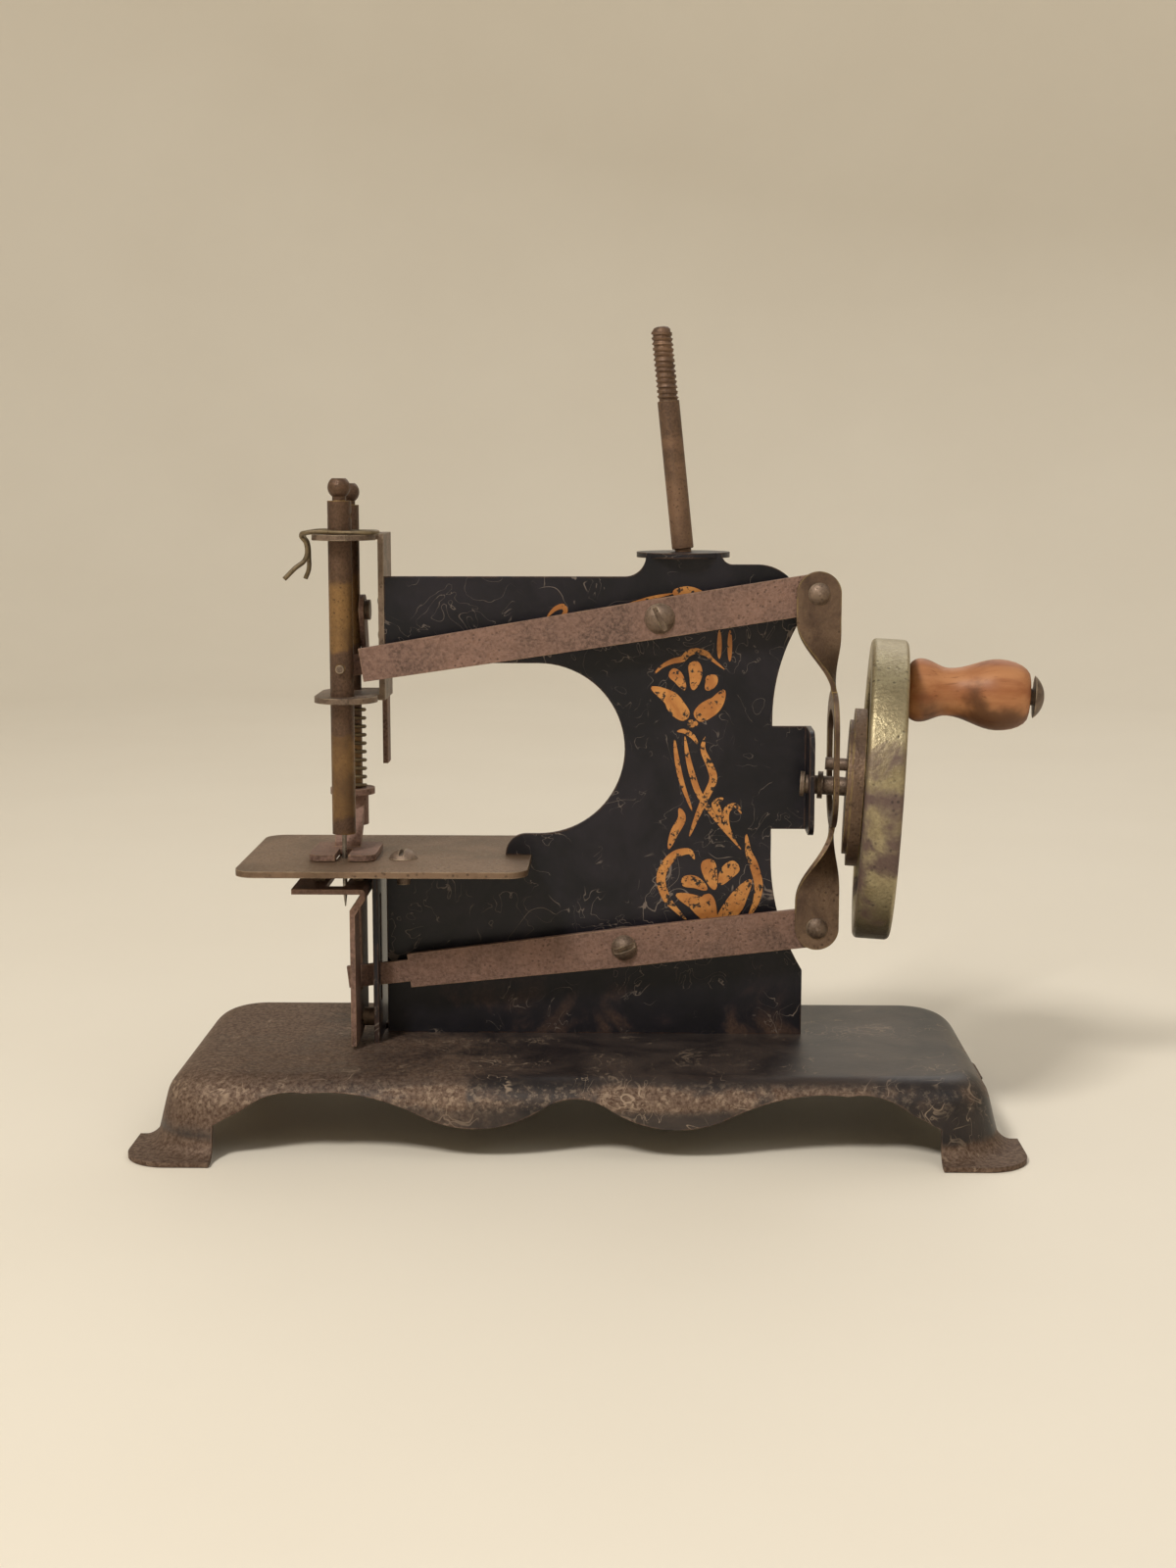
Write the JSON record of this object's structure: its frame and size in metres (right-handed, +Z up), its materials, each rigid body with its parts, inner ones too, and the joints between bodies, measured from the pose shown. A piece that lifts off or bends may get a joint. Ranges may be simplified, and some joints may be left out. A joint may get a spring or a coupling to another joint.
{
  "type": "toy sewing machine",
  "caption": "Hand-cranked toy sewing machine of pressed sheet metal, with outside rocking levers, a needle bar, a sprung presser foot and a wheel with a wooden handle.",
  "frame": {"origin": "middle of the bounding box at the height of the feet", "axes": "+X along the bed towards the hand wheel, +Y away from the user, +Z up"},
  "size_m": [0.1693, 0.076, 0.1514],
  "materials": {
    "japanned_black": "worn glossy",
    "brown_steel": "rusted",
    "dark_fittings": "tarnished",
    "plated_brass": "tarnished",
    "bar_metal": "tarnished",
    "wire": "dull",
    "bright_steel": "polished",
    "turned_wood": "waxed"
  },
  "bodies": {
    "frame": {"base": "japanned_black", "body_plate": "japanned_black", "head_bracket": "japanned_black", "head_rivets": "dark_fittings", "cloth_plate": "brown_steel", "cloth_plate_screw": "dark_fittings", "feed_bracket": "japanned_black", "feed_bracket_rivet": "dark_fittings", "feed_pivot_pin": "dark_fittings", "spool_pin": "bar_metal", "thread_guide": "wire", "pivot_screws": "dark_fittings", "pivot_spacers": "dark_fittings", "pivot_nuts": "dark_fittings", "presser_spring": "wire"},
    "wheel": {"flywheel": "plated_brass", "crank_disc": "plated_brass", "crank_shaft": "dark_fittings", "crank_pin": "dark_fittings", "shaft_collar": "dark_fittings", "handle_spindle": "dark_fittings"},
    "handle": {"crank_handle": "turned_wood"},
    "top_lever": {"upper_lever": "brown_steel"},
    "strap": {"drive_strap": "plated_brass", "link_rivets": "plated_brass"},
    "bottom_lever": {"lower_lever": "brown_steel"},
    "needle_unit": {"needle_bar": "bar_metal", "needle": "bright_steel", "needle_bar_pin": "dark_fittings"},
    "presser_unit": {"presser_bar": "bar_metal", "presser_foot": "brown_steel", "spring_seat": "brown_steel", "presser_lifter": "brown_steel", "lifter_screw": "dark_fittings"},
    "feed_unit": {"feed_arm": "brown_steel", "feed_dogs": "dark_fittings"}
  },
  "joints": [
    {"name": "wheel_spin", "type": "hinge", "parent": "frame", "child": "wheel", "pos_m": [0.04136, -0.002, 0.0648], "axis": [0.9948, -0.087, -0.0523], "continuous": true},
    {"name": "handle_spin", "type": "hinge", "parent": "wheel", "child": "handle", "pos_m": [0.05937, -0.00358, 0.08318], "axis": [0.9948, -0.087, -0.0523], "continuous": true},
    {"name": "lever_rock", "type": "hinge", "parent": "frame", "child": "top_lever", "pos_m": [0.01256, -0.0007, 0.0963], "axis": [0, 1, 0], "range_deg": [0, 15.5]},
    {"name": "strap_hang", "type": "hinge", "parent": "top_lever", "child": "strap", "pos_m": [0.04258, -0.002, 0.10106], "axis": [0, 1, 0], "range_deg": [-15.6, 0]},
    {"name": "lower_rock", "type": "hinge", "parent": "frame", "child": "bottom_lever", "pos_m": [0.00596, -0.0007, 0.0326], "axis": [0, 1, 0], "range_deg": [0, 12.8]},
    {"name": "needle_slide", "type": "slide", "parent": "frame", "child": "needle_unit", "axis": [0, 0, 1], "range_m": [0, 0.0167]},
    {"name": "feed_rock", "type": "hinge", "parent": "frame", "child": "feed_unit", "pos_m": [-0.04604, -0.0005, 0.0186], "axis": [-1, 0, 0], "range_deg": [0, 4.3]},
    {"name": "presser_slide", "type": "slide", "parent": "frame", "child": "presser_unit", "axis": [0, 0, 1], "range_m": [0, 0.003], "stiffness_N_per_m": 150, "springref_m": -0.004, "deforming": ["presser_spring"]}
  ],
  "couplings": [
    {"joint": "strap_hang", "follows": "lever_rock", "ratio": -1},
    {"joint": "lower_rock", "follows": "lever_rock", "ratio": 0.814},
    {"joint": "needle_slide", "follows": "lever_rock", "m_per_rad": 0.0611},
    {"joint": "feed_rock", "follows": "lever_rock", "ratio": 0.271}
  ]
}
